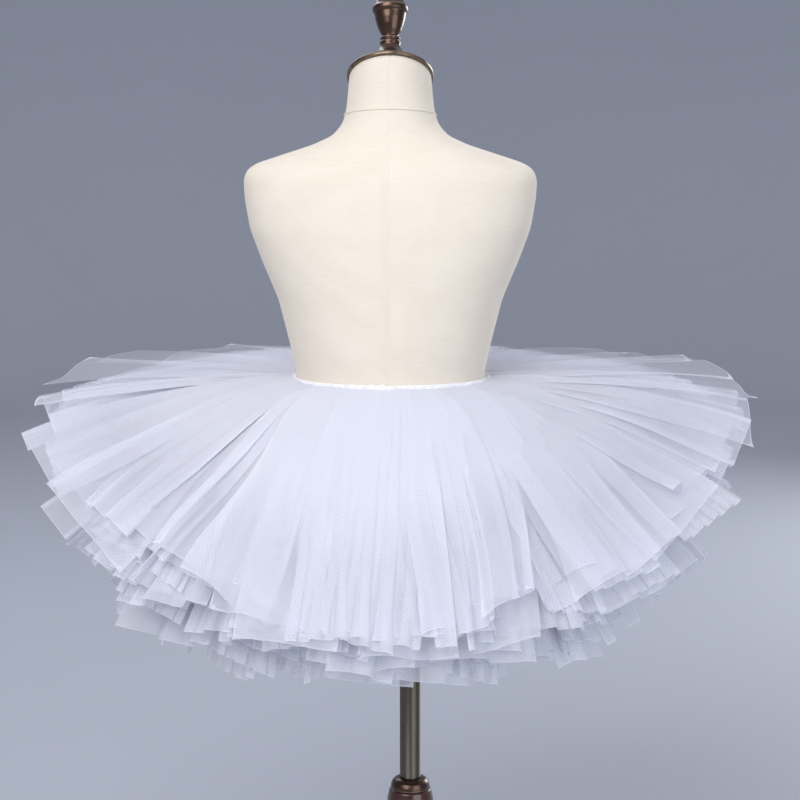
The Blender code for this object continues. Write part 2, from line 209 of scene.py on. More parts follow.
def make_mesh(name, points, faces, material, uv=None, attributes=None):
    """A smooth mesh object at the origin from arrays of points and quad or triangle faces.

    uv holds one pair a point, and attributes one number a point for each name.
    """
    mesh = bpy.data.meshes.new(name)
    mesh.from_pydata(points.reshape(-1, 3).tolist(), [], [tuple(face) for face in faces])
    corners = np.empty(len(mesh.loops), dtype=np.int64)
    mesh.loops.foreach_get("vertex_index", corners)
    if uv is not None:
        layer = mesh.uv_layers.new(name="cloth")
        layer.data.foreach_set("uv", uv.reshape(-1, 2)[corners].astype(np.float32).ravel())
    for key, values in (attributes or {}).items():
        layer = mesh.attributes.new(key, "FLOAT", "POINT")
        layer.data.foreach_set("value", values.astype(np.float32).ravel())
    mesh.polygons.foreach_set("use_smooth", np.full(len(mesh.polygons), True))
    mesh.materials.append(material)
    mesh.update()
    piece = bpy.data.objects.new(name, mesh)
    bpy.context.scene.collection.objects.link(piece)
    return piece


def soften_normals(mesh, level, share):
    """Turn the shading normals of a mesh of quads towards the surface's broad direction.

    Each corner's new normal is its point's own plus share times the broad one, both taken on
    the side that its face looks to, so that an edge that is folded over stays bright. Net
    lets light through its folds, so they look softer than those of a solid sheet.
    """
    own = np.empty(3 * len(mesh.vertices))
    mesh.vertex_normals.foreach_get("vector", own)
    facing = np.empty(3 * len(mesh.polygons))
    mesh.polygons.foreach_get("normal", facing)
    corners = np.empty(len(mesh.loops), dtype=np.int64)
    mesh.loops.foreach_get("vertex_index", corners)
    facing = np.repeat(facing.reshape(-1, 3), 4, axis=0)
    own, level, share = own.reshape(-1, 3)[corners], level[corners], share[corners]
    own = own * np.where((own * facing).sum(axis=1, keepdims=True) < 0, -1, 1)
    side = np.where((level * facing).sum(axis=1, keepdims=True) < 0, -1, 1)
    turned = own + share * side * level
    turned /= np.linalg.norm(turned, axis=1, keepdims=True)
    mesh.normals_split_custom_set(turned.tolist())


def on_grid(*parts):
    """Arrays spread over the grid that they share and stacked along a new last axis."""
    return np.stack(np.broadcast_arrays(*parts), axis=-1)


def grid_faces(rows, columns, closed, joined=False):
    """Quads of a grid of points, facing the first axis' left.

    Its columns are joined round where closed, and its rows where joined.
    """
    row, column = np.meshgrid(np.arange(rows if joined else rows - 1),
                              np.arange(columns if closed else columns - 1), indexing="ij")
    next_row, next_column = (row + 1) % rows, (column + 1) % columns
    corners = (row * columns + column, row * columns + next_column,
               next_row * columns + next_column, next_row * columns + column)
    return np.stack([corner.ravel() for corner in corners], axis=1)


def fan_faces(ring, middle):
    """Triangles from each point of a ring and the next one to a middle point."""
    return np.stack((ring, np.roll(ring, -1), np.full(len(ring), middle)), axis=1).tolist()


def close_tube(name, rings, material, uv=None, attributes=None):
    """A closed solid from rings of points, each end shut by a fan to its middle.

    Rings run upwards and anticlockwise as seen from above, so that faces point out.
    """
    rows, columns = rings.shape[:2]
    middles = np.stack((rings[0].mean(axis=0), rings[-1].mean(axis=0)))
    points = np.concatenate((rings.reshape(-1, 3), middles))
    index = np.arange(rows * columns).reshape(rows, columns)
    faces = grid_faces(rows, columns, True).tolist()
    faces += fan_faces(index[0, ::-1], rows * columns)
    faces += fan_faces(index[-1], rows * columns + 1)
    if uv is not None:
        uv = np.concatenate((uv.reshape(-1, 2), uv[:1].mean(axis=1), uv[-1:].mean(axis=1)))
    full = {}
    for key, values in (attributes or {}).items():
        full[key] = np.concatenate((values.ravel(), [values[0].mean(), values[-1].mean()]))
    return make_mesh(name, points, faces, material, uv, full)


def turned_piece(name, cad_node, profile, material, place, steps=96, spacing=0.0005,
                 window=0.0016):
    """A turned solid from (radius, height) rows that run up its outer side, for a CAD node.

    The profile is eased at its corners, carried round Z and put in its place. The attribute
    wear is how far the eased profile stands proud of its own average nearby, so it is high
    on raised edges.
    """
    fine = ease_rows(np.array(profile), spacing, window)
    broad = ease_rows(fine, spacing, 8 * window)
    broad = np.stack([np.interp(np.linspace(0, 1, len(fine)), np.linspace(0, 1, len(broad)),
                                column) for column in broad.T], axis=1)
    full_wear = 0.6 * MM
    wear = np.clip((fine[:, 0] - broad[:, 0]) / full_wear, 0, 1)
    angle = np.linspace(0, 2 * np.pi, steps, endpoint=False)
    radius, height = fine[:, 0:1], fine[:, 1:2]
    rings = place(on_grid(radius * np.cos(angle), radius * np.sin(angle), height))
    uv = on_grid(0.02 * angle, height)
    piece = close_tube(name, rings, material, uv, {"wear": wear[:, None] + 0 * angle})
    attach(piece, ROOT_BODY)
    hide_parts(cad_node)


def node(tree, kind, inputs=None, **settings):
    """Add a node, set its own settings, and fill its inputs with values or linked sockets."""
    made = tree.nodes.new("ShaderNode" + kind)
    for key, value in settings.items():
        setattr(made, key, value)
    for key, value in (inputs or {}).items():
        if isinstance(value, bpy.types.NodeSocket):
            tree.links.new(value, made.inputs[key])
        else:
            made.inputs[key].default_value = value
    return made


def new_material(name):
    """A material of nodes, still empty, and its node tree."""
    material = bpy.data.materials.new(name)
    material.use_nodes = True
    material.node_tree.nodes.clear()
    return material, material.node_tree


def show_surface(material, shader):
    """Link a shader to a new output of the material, and give the material back."""
    node(material.node_tree, "OutputMaterial", {"Surface": shader.outputs[0]})
    return material


def colour4(colour, share=1.0):
    """A colour times share, with full alpha, for a colour socket."""
    return (share * colour[0], share * colour[1], share * colour[2], 1.0)


def tulle_shader(tree, colours):
    """The net's own finish: white nylon that scatters light back and passes some through."""
    front = node(tree, "BsdfPrincipled", {
        "Base Color": colour4(colours.tulle), "Roughness": 0.7, "Specular IOR Level": 0.12})
    behind = node(tree, "BsdfTranslucent", {"Color": colour4(colours.tulle)})
    return node(tree, "MixShader", {
        0: 0.5, 1: front.outputs[0], 2: behind.outputs[0]})


def tulle_material(colours):
    """Nylon tulle, knitted as a hexagonal net: sheer, matt, and denser where it is gathered.

    Its cells are 1.3 mm across and are drawn 2.6 mm across, because finer ones don't show.
    """
    material, tree = new_material("nylon_tulle_net")
    cell = 2.6 * MM
    place = node(tree, "UVMap", uv_map="cloth").outputs["UV"]
    waves = []
    for turn in (30, 90, 150):
        across = (2 * math.pi / cell * math.cos(math.radians(turn)),
                  2 * math.pi / cell * math.sin(math.radians(turn)), 0.0)
        dot = node(tree, "VectorMath", {0: place, 1: across}, operation="DOT_PRODUCT")
        waves.append(node(tree, "Math", {0: dot.outputs["Value"]}, operation="COSINE"))
    pair = node(tree, "Math", {0: waves[0].outputs[0], 1: waves[1].outputs[0]})
    total = node(tree, "Math", {0: pair.outputs[0], 1: waves[2].outputs[0]})
    threads = node(tree, "MapRange", {
        "Value": total.outputs[0], "From Min": -1.5, "From Max": 3.0,
        "To Min": 1.05, "To Max": 0.90})
    density = node(tree, "Attribute", attribute_name="cover")
    net = node(tree, "Math", {
        0: density.outputs["Fac"], 1: threads.outputs[0]}, operation="MULTIPLY")
    edge = node(tree, "Attribute", attribute_name="edge")
    line = node(tree, "MapRange", {
        "Value": edge.outputs["Fac"], "From Min": 0.7 * MM, "From Max": 1.5 * MM,
        "To Min": 0.75, "To Max": 0.0})
    alpha = node(tree, "Math", {
        0: net.outputs[0], 1: line.outputs[0]}, operation="MAXIMUM")
    hole = node(tree, "BsdfTransparent")
    cloth = node(tree, "MixShader", {
        0: alpha.outputs[0], 1: hole.outputs[0], 2: tulle_shader(tree, colours).outputs[0]})
    return show_surface(material, cloth)


def dense_tulle_material(colours):
    """The same net gathered tight towards the knots, where nothing shows through it."""
    material, tree = new_material("gathered_nylon_tulle")
    return show_surface(material, tulle_shader(tree, colours))


def knot_material(colours):
    """The same tulle bunched in a knot: many layers deep, so it is white and nearly opaque."""
    material, tree = new_material("bunched_tulle")
    place = node(tree, "UVMap", uv_map="cloth").outputs["UV"]
    creases = node(tree, "TexNoise", {
        "Vector": place, "Scale": 420.0, "Detail": 3.0, "Roughness": 0.6})
    bump = node(tree, "Bump", {
        "Height": creases.outputs[0], "Strength": 0.35, "Distance": 1.2 * MM})
    # Painted shade: the knots' base colour is the net's own white darkened to 0.82
    shader = node(tree, "BsdfPrincipled", {
        "Base Color": colour4(colours.tulle, 0.82), "Roughness": 0.8,
        "Specular IOR Level": 0.12, "Normal": bump.outputs[0]})
    return show_surface(material, shader)


def elastic_material(colours):
    """Woven polyester elastic: matt white with upright ribs 1.3 mm apart, drawn 2 mm apart."""
    material, tree = new_material("woven_elastic")
    place = node(tree, "UVMap", uv_map="cloth").outputs["UV"]
    ribs = node(tree, "TexWave", {
        "Vector": place, "Scale": 1 / (2 * MM) / 6.283 * 2, "Distortion": 0.4,
        "Detail": 1.0}, bands_direction="X")
    # Painted shade: the grooves between the ribs are coloured darker, by the same waves that
    # raise the ribs
    tone = node(tree, "Mix", {
        "Factor": ribs.outputs["Fac"], "A": colour4(colours.elastic, 0.82),
        "B": colour4(colours.elastic)}, data_type="RGBA")
    bump = node(tree, "Bump", {
        "Height": ribs.outputs["Fac"], "Strength": 0.5, "Distance": 0.5 * MM})
    shader = node(tree, "BsdfPrincipled", {
        "Base Color": tone.outputs["Result"], "Roughness": 0.8, "Normal": bump.outputs[0],
        "Sheen Weight": 0.15})
    return show_surface(material, shader)


def cotton_material(colours):
    """Plain-woven cream cotton, stretched smooth: matt, with slubs and a fine weave.

    Its threads are 0.5 mm apart and are drawn 1.1 mm apart, because finer ones don't show.
    """
    material, tree = new_material("cream_woven_cotton")
    place = node(tree, "UVMap", uv_map="cloth").outputs["UV"]
    pitch = 1.1 * MM
    weave = []
    for direction in ("X", "Y"):
        weave.append(node(tree, "TexWave", {
            "Vector": place, "Scale": 1 / pitch / 6.283 * 2, "Distortion": 0.8,
            "Detail": 1.0}, bands_direction=direction))
    cross = node(tree, "Math", {
        0: weave[0].outputs["Fac"], 1: weave[1].outputs["Fac"]}, operation="MULTIPLY")
    slubs = node(tree, "TexNoise", {
        "Vector": node(tree, "Mapping", {
            "Vector": place, "Scale": (60.0, 900.0, 1.0)}).outputs[0],
        "Scale": 1.0, "Detail": 2.0})
    cloud = node(tree, "TexNoise", {"Vector": place, "Scale": 22.0, "Detail": 3.0})
    both = node(tree, "Math", {
        0: slubs.outputs[0], 1: cloud.outputs[0]}, operation="MULTIPLY")
    share = node(tree, "MapRange", {
        "Value": both.outputs[0], "From Min": 0.12, "From Max": 0.42, "To Min": 0.0,
        "To Max": 0.55})
    tone = node(tree, "Mix", {
        "Factor": share.outputs[0], "A": colour4(colours.cotton),
        "B": colour4(colours.cotton_shade)}, data_type="RGBA")
    fine = node(tree, "Bump", {
        "Height": cross.outputs[0], "Strength": 0.22, "Distance": 0.3 * MM})
    bump = node(tree, "Bump", {
        "Height": cloud.outputs[0], "Strength": 0.25, "Distance": 1.5 * MM,
        "Normal": fine.outputs[0]})
    shader = node(tree, "BsdfPrincipled", {
        "Base Color": tone.outputs["Result"], "Roughness": 0.86, "Normal": bump.outputs[0],
        "Sheen Weight": 0.2, "Sheen Roughness": 0.5})
    return show_surface(material, shader)


def bronze_material(colours):
    """Antique bronze plating: dark brown, rubbed to pale brass on its raised rings."""
    material, tree = new_material("antique_bronze_plating")
    place = node(tree, "TexCoord").outputs["Object"]
    cloud = node(tree, "TexNoise", {"Vector": place, "Scale": 90.0, "Detail": 4.0})
    wear = node(tree, "Attribute", attribute_name="wear")
    patchy = node(tree, "Math", {
        0: wear.outputs["Fac"], 1: cloud.outputs[0]}, operation="MULTIPLY")
    share = node(tree, "MapRange", {
        "Value": patchy.outputs[0], "From Min": 0.2, "From Max": 0.8})
    tone = node(tree, "Mix", {
        "Factor": share.outputs[0], "A": colour4(colours.bronze),
        "B": colour4(colours.bronze_worn)}, data_type="RGBA")
    gloss = node(tree, "MapRange", {
        "Value": cloud.outputs[0], "To Min": 0.22, "To Max": 0.42})
    bump = node(tree, "Bump", {
        "Height": cloud.outputs[0], "Strength": 0.06, "Distance": 0.4 * MM})
    shader = node(tree, "BsdfPrincipled", {
        "Base Color": tone.outputs["Result"], "Metallic": 0.9, "Roughness": gloss.outputs[0],
        "Coat Weight": 0.5, "Coat Roughness": 0.2, "Normal": bump.outputs[0]})
    return show_surface(material, shader)


def nickel_material(colours):
    """Dark nickel-plated steel tube: satin, with drawing lines that stretch its highlights."""
    material, tree = new_material("dark_nickel_plate")
    place = node(tree, "TexCoord").outputs["Object"]
    lines = node(tree, "TexNoise", {
        "Vector": node(tree, "Mapping", {
            "Vector": place, "Scale": (900.0, 900.0, 6.0)}).outputs[0],
        "Scale": 1.0, "Detail": 2.0})
    gloss = node(tree, "MapRange", {
        "Value": lines.outputs[0], "To Min": 0.46, "To Max": 0.56})
    shader = node(tree, "BsdfPrincipled", {
        "Base Color": colour4(colours.nickel), "Metallic": 1.0, "Roughness": gloss.outputs[0],
        "Anisotropic": 0.95, "Anisotropic Rotation": 0.25})
    return show_surface(material, shader)


def wood_material(colours):
    """Turned hardwood under brown lacquer: dark upright grain and a soft clear gloss."""
    material, tree = new_material("brown_lacquered_hardwood")
    place = node(tree, "TexCoord").outputs["Object"]
    grain = node(tree, "TexNoise", {
        "Vector": node(tree, "Mapping", {
            "Vector": place, "Scale": (110.0, 110.0, 9.0)}).outputs[0],
        "Scale": 1.0, "Detail": 5.0, "Roughness": 0.6, "Distortion": 0.6})
    share = node(tree, "MapRange", {
        "Value": grain.outputs[0], "From Min": 0.38, "From Max": 0.62})
    tone = node(tree, "Mix", {
        "Factor": share.outputs[0], "A": colour4(colours.wood_dark),
        "B": colour4(colours.wood)}, data_type="RGBA")
    bump = node(tree, "Bump", {
        "Height": grain.outputs[0], "Strength": 0.08, "Distance": 0.3 * MM})
    shader = node(tree, "BsdfPrincipled", {
        "Base Color": tone.outputs["Result"], "Roughness": 0.32, "Coat Weight": 0.5,
        "Coat Roughness": 0.12, "Normal": bump.outputs[0]})
    return show_surface(material, shader)


def floor_material(colours):
    """Painted studio sweep: pale grey and matt."""
    material, tree = new_material("pale_studio_sweep")
    place = node(tree, "TexCoord").outputs["Object"]
    cloud = node(tree, "TexNoise", {"Vector": place, "Scale": 0.7, "Detail": 2.0})
    tone = node(tree, "Mix", {
        "Factor": cloud.outputs[0], "A": colour4(colours.floor, 0.94),
        "B": colour4(colours.floor)}, data_type="RGBA")
    shader = node(tree, "BsdfPrincipled", {
        "Base Color": tone.outputs["Result"], "Roughness": 0.85})
    return show_surface(material, shader)


def by_oval(half_width, half_depth, angle, out, along, height):
    """Points out from and along an oval's edge, where its normal has the given plan angle."""
    cosine, sine = np.cos(angle), np.sin(angle)
    scale = np.hypot(half_width * cosine, half_depth * sine)
    x = half_width ** 2 * cosine / scale + out * cosine - along * sine
    y = half_depth ** 2 * sine / scale + out * sine + along * cosine
    return on_grid(x, y, height)


def layer_droop(near_side_far, angle):
    """Droop in radians at a plan angle, mixed from the near, side and far values.

    It is averaged over the turn that a strip's own width takes up, because a strip can't
    follow a sharper change.
    """
    facing = np.sin(np.asarray(angle)[..., None] + np.linspace(-0.2, 0.2, 9))
    near = np.clip(-facing, 0, None) ** 1.2
    far = np.clip(facing, 0, None) ** 1.6
    droop_near, droop_side, droop_far = near_side_far
    mixed = droop_near * near + droop_far * far + droop_side * (1 - near - far)
    return np.radians(mixed.mean(axis=-1))


STRIP_ROWS = 15
STRIP_COLUMNS = 31
NET_DENSITY = 0.45  # share of the light that one flat layer of net stops
GATHERED_DENSITY = 1.25  # cover of net that is gathered tight
DENSE_FROM = 1.05  # cover from which nothing shows through
THINNING_RUN = 0.42  # share of a strip's length over which the gathered net thins out
SHARP_BEND = 400  # bend of the cloth, one over its radius in metres, that looks densest
PUFF_AT = 0.22  # place along a strip where the cloth puffs up most
LEAST_DROOP = math.radians(0.5)

# Degrees that a layer's strips stray upwards and downwards, from the top layer down
LAYER_STRAY = ((0.8, 0.8), (9, 4), (10, 5), (9, 6), (9, 5))


def strip_section(sizes, p, u, v):
    """The cloth's line across each strip, row by row: sideways place, height, fold sharpness.

    The line runs at a slope angle that is a sum of two sine waves, and turns over by half a
    circle where an edge is folded back. Its sideways place and height are the running sums of
    the cosine and the sine of that angle, so the cloth keeps its width however it is folded.
    The waves drift across the strip from row to row, so that no crease runs quite straight.
    p holds the strips' numbers, u runs from knot to hem and v across.
    """
    phase = p["phase"] + p["drift"] * u
    angle = p["fold_angle"] * np.sin(np.pi * p["folds"] * v + phase)
    angle = angle + p["small_angle"] * np.sin(2.7 * np.pi * p["folds"] * v + 2.1 * phase)
    turn = np.clip((p["hand"] * v - p["flap_at"] - 0.1 * u) / 0.10 + 0.5, 0, 1)
    angle = angle + p["flap"] * np.pi * turn * turn * (3 - 2 * turn)
    step = sizes.cut_width / (STRIP_COLUMNS - 1)
    middle = (angle[..., 1:] + angle[..., :-1]) / 2
    along = np.cumsum(np.cos(middle), axis=2) * step
    rise = np.cumsum(np.sin(middle), axis=2) * step
    along = np.concatenate((0 * along[..., :1], along), axis=2)
    rise = np.concatenate((0 * rise[..., :1], rise), axis=2)
    along = along - (along.max(axis=2) + along.min(axis=2))[..., None] / 2
    rise = (rise - rise.mean(axis=2)[..., None]) * p["fold_height"]
    length = np.hypot(np.diff(along, axis=2), np.diff(rise, axis=2)).sum(axis=2)[..., None]
    sharp = np.abs(np.gradient(angle, step, axis=2))
    return along * sizes.cut_width / length, rise * sizes.cut_width / length, sharp


def strip_points(sizes, plan):
    """Points, cloth coordinates, density, edge distance and broad normals of many strips.

    A strip leaves the band at its plan angle and bends down as an even arc. Across, it opens
    from its knot to the folded line of strip_section. The line then turns by the twist, which
    grows with the distance squared, and lies along its layer's slope and curve on either side.
    The whole strip sways to one side, and stands off its arc by a bow at its middle, a lift at
    its hem and a puff near its knot. The density is that of flat net raised by how tightly the
    net is gathered and creased.
    """
    u = np.linspace(0, 1, STRIP_ROWS)[None, :, None]
    v = np.linspace(-1, 1, STRIP_COLUMNS)[None, None, :]
    p = {key: value[:, None, None] for key, value in plan.items()}
    along, rise, sharp = strip_section(sizes, p, u, v)
    reach = p["length"] * u + p["slant"] * v * u ** 4
    start = p["droop"] - sizes.strip_curl / 2
    bend = sizes.strip_curl / sizes.strip_length
    droop = start + bend * reach
    outward = (np.sin(droop) - np.sin(start)) / bend
    downward = (np.cos(start) - np.cos(droop)) / bend
    full = (along.max(axis=2) - along.min(axis=2))[..., None]
    opened = p["root_width"] / full
    opened = opened + (1 - opened) * u ** p["opening"]
    opened = opened * (1 + 0.07 * np.sin(8 * u + p["phase"]))
    lateral = along * opened
    pleat = np.sin(np.pi / 2 * np.arange(STRIP_COLUMNS)) * sizes.cut_width / (STRIP_COLUMNS - 1)
    pleat = pleat * np.sqrt(1 - np.clip(opened, 0, 1) ** 2) * (1 - u) ** 1.4
    height = rise * u ** p["flatness"] + p["ruffle"] * pleat
    twist = p["twist"] * u ** 2
    turned = lateral * np.cos(twist) - height * np.sin(twist)
    height = lateral * np.sin(twist) + height * np.cos(twist)
    turned = turned + p["sway"] * u ** 2 + p["wobble"] * np.sin(2 * np.pi * u + p["phase"]) * u
    ring = (sizes.waist_half_width + sizes.waist_half_depth) / 2 + outward
    height = height - reach * p["droop_rate"] * lateral / ring
    height = height - lateral ** 2 * np.sin(droop) / (2 * ring)
    height = height + p["bow"] * np.sin(np.pi * u ** 1.3) + p["lift"] * u ** 2
    height = height + p["puff"] * u / PUFF_AT * np.exp(1 - u / PUFF_AT)
    angle = p["angle"]
    points = by_oval(
        sizes.waist_half_width + p["stand_off"], sizes.waist_half_depth + p["stand_off"], angle,
        outward + height * np.sin(droop), turned,
        p["root_height"] + height * np.cos(droop) - downward)
    level = on_grid(np.sin(droop) * np.cos(angle), np.sin(droop) * np.sin(angle), np.cos(droop))
    cut_x, cut_y = (v + 1) / 2 * sizes.cut_width, p["length"] * (1 - u)
    uv = on_grid(cut_x, cut_y)
    crease = np.clip(sharp / SHARP_BEND, 0, 1) * 0.5
    gathered = 1 / np.clip(opened, 0.15, 1)
    density = 1 - (1 - NET_DENSITY) ** (gathered * p["fullness"] * (1 + crease))
    inner = np.clip((p["closed_to"] - u) / THINNING_RUN, 0, 1)
    density = density + (GATHERED_DENSITY - density) * inner * p["gather"]
    edge = np.minimum(np.minimum(cut_x, sizes.cut_width - cut_x), cut_y)
    return points, uv, density, edge, level


def strip_faces(density):
    """Quads of all strips, one grid after another, and whether each is gathered dense."""
    single = grid_faces(STRIP_ROWS, STRIP_COLUMNS, False)
    offset = np.arange(len(density))[:, None, None] * STRIP_ROWS * STRIP_COLUMNS
    faces = (single[None] + offset).reshape(-1, 4)
    return faces, (density.ravel()[faces] > DENSE_FROM).all(axis=1)


def layer_plan(sizes, index, near_side_far, seed, hand_folds):
    """Every strip's own numbers for one layer, drawn with the layer's seed.

    The strips nearest to the rows of hand_folds then take the numbers of their row.
    """
    rng = np.random.default_rng(seed)
    count, top = sizes.strips_a_layer, index == 0
    place = (np.arange(count) + rng.uniform(-0.45, 0.45, count)) / count
    angle = 2 * np.pi * place - np.pi / 2
    near, far = np.clip(-np.sin(angle), 0, None), np.clip(np.sin(angle), 0, None)
    calm = 1 - 0.6 * near - 0.6 * far
    crisp = 1 - 0.85 * far ** 0.3
    upwards, downwards = LAYER_STRAY[index]
    stray = rng.uniform(-upwards, downwards, count) * (1 - 0.7 * near - 0.5 * far)
    droop = np.maximum(layer_droop(near_side_far, angle) + np.radians(stray), LEAST_DROOP)
    beside = [layer_droop(near_side_far, angle + step) for step in (-0.05, 0.05)]
    narrow = rng.uniform(0, 1, count) < (0.3 if top else 0.5)
    plan = {
        "angle": angle,
        "droop": droop,
        "droop_rate": (beside[1] - beside[0]) / 0.1,
        "length": sizes.strip_length * rng.uniform(0.87, 1.00 if top else 1.02, count),
        "slant": rng.uniform(-8, 8, count) * (1 + 0.8 * near) * MM,
        "root_width": rng.uniform(26, 38, count) * (1.25 if top else 1.0) * MM,
        "hand": rng.choice((-1.0, 1.0), count),
        "flap": rng.choice((-1.0, 0.0, 0.0, 0.0, 1.0), count) * (far < 0.2),
        "flap_at": rng.uniform(0.45, 0.8, count),
        "folds": np.where(narrow, rng.uniform(3, 4, count), rng.uniform(1.0, 2.4, count)),
        "phase": rng.uniform(0, 2 * np.pi, count),
        "drift": rng.normal(0, 1.0, count),
        "fold_angle": np.where(narrow, 1.7, rng.uniform(1.0, 1.6, count)),
        "small_angle": rng.uniform(0.1, 0.35, count),
        "fold_height": (rng.uniform(0.35, 0.75, count) * crisp
                        * (1 + (-0.3 if top else 0.3) * near)),
        "flatness": np.full(count, 2.4) if top else 0.7 + 0.8 * near,
        "opening": np.full(count, 0.5 if top else 0.65),
        "ruffle": np.full(count, 0.1 if top else 0.7),
        "puff": (11 - 2.2 * index) * near * rng.uniform(0.93, 1.0, count) * MM,
        "twist": np.radians(rng.normal(0, 18, count) * calm * crisp),
        "sway": rng.normal(0, 11, count) * MM,
        "wobble": rng.normal(0, 4.5, count) * MM,
        "bow": rng.normal(1.5, 2.5, count) * (0.25 if top else 1.0) * MM,
        "stand_off": rng.uniform(0.5, 2.0, count) * MM,
        "root_height": sizes.waist_height + MM * (
            4.8 * (2 - index) + rng.uniform(-2, 2, count) * (1 - 0.5 * near * top)),
        "fullness": (rng.uniform(0.85, 1.2, count) * (1 + (0 if top else 0.2) * near)
                     * (1 - (0.85 if top else 0.6) * far ** 0.45)),
        "gather": 1 - 0.6 * np.clip(far / 0.35, 0, 1) * top,
        "closed_to": np.full(count, 0.72 if top else 0.88),
        "lift": np.zeros(count),
    }
    for turn, share, sway, twist, folds, fold_angle, fold_height, lift in hand_folds:
        off_turn = np.angle(np.exp(1j * (angle + np.pi / 2 - np.radians(turn))))
        i = int(np.argmin(np.abs(off_turn)))
        row = {"length": sizes.strip_length * share, "sway": sway * MM,
               "twist": np.radians(twist), "folds": folds, "fold_angle": fold_angle,
               "fold_height": fold_height, "lift": lift * MM}
        for key, value in row.items():
            plan[key][i] = value
    return plan


def set_looking(thing, place, aim):
    """Link a light or camera, put it in its place and turn it to look at its aim."""
    thing.location = place
    thing.rotation_euler = (Vector(aim) - Vector(place)).to_track_quat("-Z", "Y").to_euler()
    bpy.context.scene.collection.objects.link(thing)


class TUTU_OT_stage(bpy.types.Operator):
    """Make the pale sweep, the soft studio lights, the room's light and the camera"""

    bl_idname = "tutu.stage"
    bl_label = "Stage"

    def execute(self, context):
        """A floor that curves up all round, four round area lights and an upright camera."""
        colours = context.scene.tutu_colours
        flat, bend, rise = 4.6, 1.4, 3.2
        turn = np.linspace(0, np.pi / 2, 14)
        radius = np.concatenate(([0.3, 1.5, 3.0], flat + bend * np.sin(turn), [flat + bend]))
        height = np.concatenate(([0.0, 0.0, 0.0], bend * (1 - np.cos(turn)), [bend + rise]))
        angle = np.linspace(0, 2 * np.pi, 72, endpoint=False)
        rings = on_grid(radius[:, None] * np.cos(angle), radius[:, None] * np.sin(angle),
                        height[:, None])
        points = np.concatenate((rings.reshape(-1, 3), np.zeros((1, 3))))
        faces = grid_faces(len(radius), len(angle), True)[:, ::-1].tolist()
        faces += fan_faces(np.arange(len(angle)), len(points) - 1)
        floor = make_mesh("floor", points, faces, floor_material(colours))
        floor.location.z = base_low.z - 0.5 * MM

        # Name, place, aim, width in metres, power in watts, tint
        lights = (
            ("key", (-1.3, -2.6, 2.6), (0.0, 0.0, 0.62), 2.8, 98.0, (1.0, 0.99, 0.98)),
            ("fill", (1.9, -2.5, 0.75), (0.0, 0.0, 0.50), 2.4, 38.0, (0.93, 0.96, 1.0)),
            ("back", (-1.2, 2.3, 2.4), (0.0, 0.0, 0.60), 1.6, 16.0, (0.95, 0.97, 1.0)),
            ("chest", (2.1, 2.5, 1.1), (0.0, 0.0, 0.60), 1.6, 34.0, (1.0, 0.99, 0.98)),
        )
        for name, place, aim, side, power, tint in lights:
            data = bpy.data.lights.new(name, "AREA")
            data.shape, data.size, data.energy, data.color = "DISK", side, power, tint
            set_looking(bpy.data.objects.new(name, data), place, aim)

        world = bpy.data.worlds.new("room")
        world.use_nodes = True
        background = world.node_tree.nodes["Background"]
        background.inputs["Color"].default_value = colour4(hex_to_linear("EEF0F8"))
        background.inputs["Strength"].default_value = 0.82
        context.scene.world = world
        context.scene.view_settings.view_transform = "Standard"
        cycles = context.scene.cycles
        cycles.transparent_max_bounces, cycles.max_bounces = 12, 5
        cycles.diffuse_bounces, cycles.transmission_bounces = 4, 4

        camera_data = bpy.data.cameras.new("camera")
        view_distance, view_width = 2.12, 0.84
        camera_data.lens = camera_data.sensor_width * view_distance / view_width
        camera = bpy.data.objects.new("camera", camera_data)
        set_looking(camera, (0.010, -2.1, 0.945), (0.010, 0.0, 0.651))
        context.scene.camera = camera
        return {"FINISHED"}


class TUTU_OT_form(bpy.types.Operator):
    """Cover the torso and neck in cream cotton, with the neck seam's raised cord"""

    bl_idname = "tutu.form"
    bl_label = "Form cover"

    def execute(self, context):
        """Loft the eased slices as superellipses, each slanted by its own angle."""
        colours = context.scene.tutu_colours
        columns, turns = 160, 10
        fine = ease_rows(FORM_SLICES, 0.0025, 0.016)
        around = np.linspace(0, 2 * np.pi, columns, endpoint=False)
        height, wide, deep, centre, power, slant = (fine[:, i:i + 1] for i in range(6))
        cosine, sine = np.cos(around - np.pi / 2), np.sin(around - np.pi / 2)
        x = wide * np.sign(cosine) * np.abs(cosine) ** (2 / power)
        y = deep * np.sign(sine) * np.abs(sine) ** (2 / power)
        seam_depth, seam_width = 0.6 * MM, 0.03
        off_seam = np.minimum(around, 2 * np.pi - around)
        shrink = 1 - seam_depth * np.exp(-(off_seam / seam_width) ** 2) / np.hypot(x, y)
        z = height - y * np.tan(np.radians(slant))
        rings = on_grid(x * shrink, centre + y * shrink, z)
        steps = np.linalg.norm(np.diff(rings, axis=1, append=rings[:, :1]), axis=2)
        along = np.cumsum(steps, axis=1) - steps
        cotton = cotton_material(colours)
        body = close_tube("form_cover", rings, cotton, on_grid(along, z))
        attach(body, ROOT_BODY)
        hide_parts("form_body")

        neck_seam_height, cord, neck_girth = 0.9475, 1.1 * MM, 0.28
        ring = rings[int(np.argmin(np.abs(fine[:, 0] - neck_seam_height)))]
        out = (ring - ring.mean(axis=0)) * (1, 1, 0)
        out /= np.linalg.norm(out, axis=1)[:, None]
        turn = np.linspace(0, 2 * np.pi, turns, endpoint=False)
        path = ring[:, None] + out[:, None] * (cord * np.cos(turn))[None, :, None]
        path = path + np.array((0.0, 0.0, cord)) * np.sin(turn)[None, :, None]
        faces = grid_faces(columns, turns, True, joined=True)[:, ::-1]
        length = np.linspace(0, neck_girth, columns)[:, None]
        cord_uv = on_grid(length, 0.6 * MM * turn)
        piping = make_mesh("neck_seam_cord", path, faces, cotton, cord_uv)
        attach(piping, ROOT_BODY)
        return {"FINISHED"}


